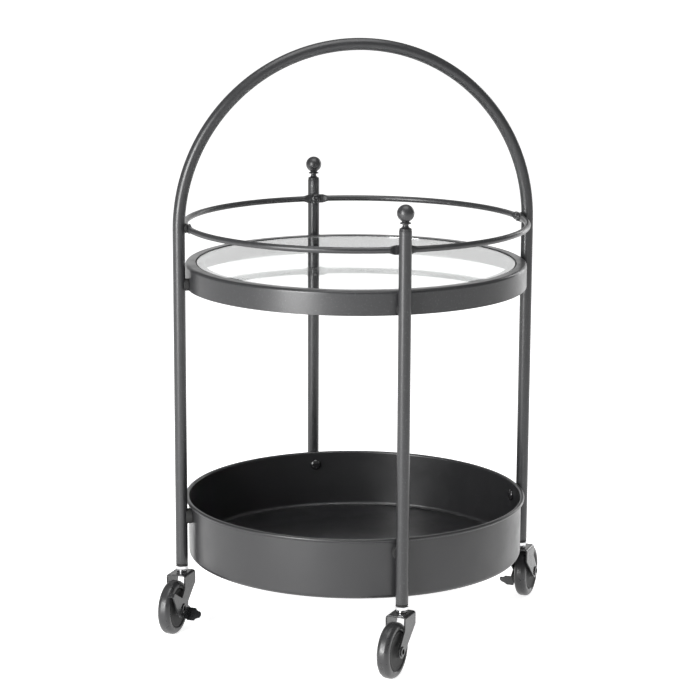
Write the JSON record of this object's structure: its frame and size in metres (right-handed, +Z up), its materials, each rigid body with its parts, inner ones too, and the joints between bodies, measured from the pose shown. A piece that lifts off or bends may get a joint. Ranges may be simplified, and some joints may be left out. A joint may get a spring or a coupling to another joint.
{
  "type": "round bar cart on casters",
  "caption": "Round two-tier bar cart: glass-topped upper tray with gallery rail, deep lower pan, arched tube handle, straight posts with ball finials, swivel casters, brake levers.",
  "frame": {"origin": "on the floor, under the middle of the cart", "axes": "+Z up; X across the cart in the plane of the arch; -Y towards the front straight post"},
  "size_m": [0.5556, 0.5802, 0.7759],
  "materials": {
    "frame_coat": "dark graphite powder coat with a soft metallic sheen",
    "pan_coat": "dark graphite powder coat, satin",
    "screw_black": "glossy black plated screws",
    "black_plastic": "moulded black plastic",
    "clear_glass": "clear tempered pane with a polished edge",
    "chrome": "bright chrome plate",
    "fork_steel": "black zinc plate, smooth and semi-gloss",
    "wheel_core": "hard black moulded plastic",
    "tread": "smooth black rubber"
  },
  "bodies": {
    "frame": {"arch_hoop": "frame_coat", "front_caster_stem": "chrome", "front_finial": "frame_coat", "front_post": "frame_coat", "front_post_insert": "black_plastic", "gallery_rail": "frame_coat", "glass_panel": "clear_glass", "left_caster_stem": "chrome", "left_post_insert": "black_plastic", "lower_tray": "pan_coat", "lower_tray_screw_front": "screw_black", "lower_tray_screw_left": "screw_black", "lower_tray_screw_rear": "screw_black", "lower_tray_screw_right": "screw_black", "lower_tray_spacer_front": "black_plastic", "lower_tray_spacer_left": "black_plastic", "lower_tray_spacer_rear": "black_plastic", "lower_tray_spacer_right": "black_plastic", "rail_screw_front": "screw_black", "rail_screw_left": "screw_black", "rail_screw_rear": "screw_black", "rail_screw_right": "screw_black", "rail_spacer_front": "black_plastic", "rail_spacer_left": "black_plastic", "rail_spacer_rear": "black_plastic", "rail_spacer_right": "black_plastic", "rear_caster_stem": "chrome", "rear_finial": "frame_coat", "rear_post": "frame_coat", "rear_post_insert": "black_plastic", "right_caster_stem": "chrome", "right_post_insert": "black_plastic", "upper_tray_frame": "frame_coat", "upper_tray_screw_front": "screw_black", "upper_tray_screw_left": "screw_black", "upper_tray_screw_rear": "screw_black", "upper_tray_screw_right": "screw_black", "upper_tray_spacer_front": "black_plastic", "upper_tray_spacer_left": "black_plastic", "upper_tray_spacer_rear": "black_plastic", "upper_tray_spacer_right": "black_plastic"},
    "right_caster": {"right_fork": "fork_steel", "right_axle": "fork_steel"},
    "right_wheel": {"right_wheel_hub": "wheel_core", "right_wheel_tyre": "tread"},
    "right_brake": {"right_brake_lever": "fork_steel"},
    "rear_caster": {"rear_fork": "fork_steel", "rear_axle": "fork_steel"},
    "rear_wheel": {"rear_wheel_hub": "wheel_core", "rear_wheel_tyre": "tread"},
    "left_caster": {"left_fork": "fork_steel", "left_axle": "fork_steel"},
    "left_wheel": {"left_wheel_hub": "wheel_core", "left_wheel_tyre": "tread"},
    "left_brake": {"left_brake_lever": "fork_steel"},
    "front_caster": {"front_fork": "fork_steel", "front_axle": "fork_steel"},
    "front_wheel": {"front_wheel_hub": "wheel_core", "front_wheel_tyre": "tread"}
  },
  "joints": [
    {"name": "right_caster_swivel", "type": "hinge", "parent": "frame", "child": "right_caster", "pos_m": [0.236, 0, 0.0768], "axis": [0, 0, 1], "continuous": true},
    {"name": "right_wheel_spin", "type": "hinge", "parent": "right_caster", "child": "right_wheel", "pos_m": [0.25271, 0.02431, 0.0355], "axis": [0.8241, -0.5664, 0], "continuous": true},
    {"name": "right_brake_hinge", "type": "hinge", "parent": "right_caster", "child": "right_brake", "pos_m": [0.25271, 0.02431, 0.0355], "axis": [0.8241, -0.5664, 0], "range_deg": [0, 20]},
    {"name": "rear_caster_swivel", "type": "hinge", "parent": "frame", "child": "rear_caster", "pos_m": [0, 0.236, 0.0768], "axis": [0, 0, 1], "continuous": true},
    {"name": "rear_wheel_spin", "type": "hinge", "parent": "rear_caster", "child": "rear_wheel", "pos_m": [0.01836, 0.25909, 0.0355], "axis": [0.7826, -0.6225, 0], "continuous": true},
    {"name": "left_caster_swivel", "type": "hinge", "parent": "frame", "child": "left_caster", "pos_m": [-0.236, 0, 0.0768], "axis": [0, 0, 1], "continuous": true},
    {"name": "left_wheel_spin", "type": "hinge", "parent": "left_caster", "child": "left_wheel", "pos_m": [-0.25271, -0.02431, 0.0355], "axis": [-0.8241, 0.5664, 0], "continuous": true},
    {"name": "left_brake_hinge", "type": "hinge", "parent": "left_caster", "child": "left_brake", "pos_m": [-0.25271, -0.02431, 0.0355], "axis": [-0.8241, 0.5664, 0], "range_deg": [0, 20]},
    {"name": "front_caster_swivel", "type": "hinge", "parent": "frame", "child": "front_caster", "pos_m": [0, -0.236, 0.0768], "axis": [0, 0, 1], "continuous": true},
    {"name": "front_wheel_spin", "type": "hinge", "parent": "front_caster", "child": "front_wheel", "pos_m": [-0.01836, -0.25909, 0.0355], "axis": [-0.7826, 0.6225, 0], "continuous": true}
  ]
}
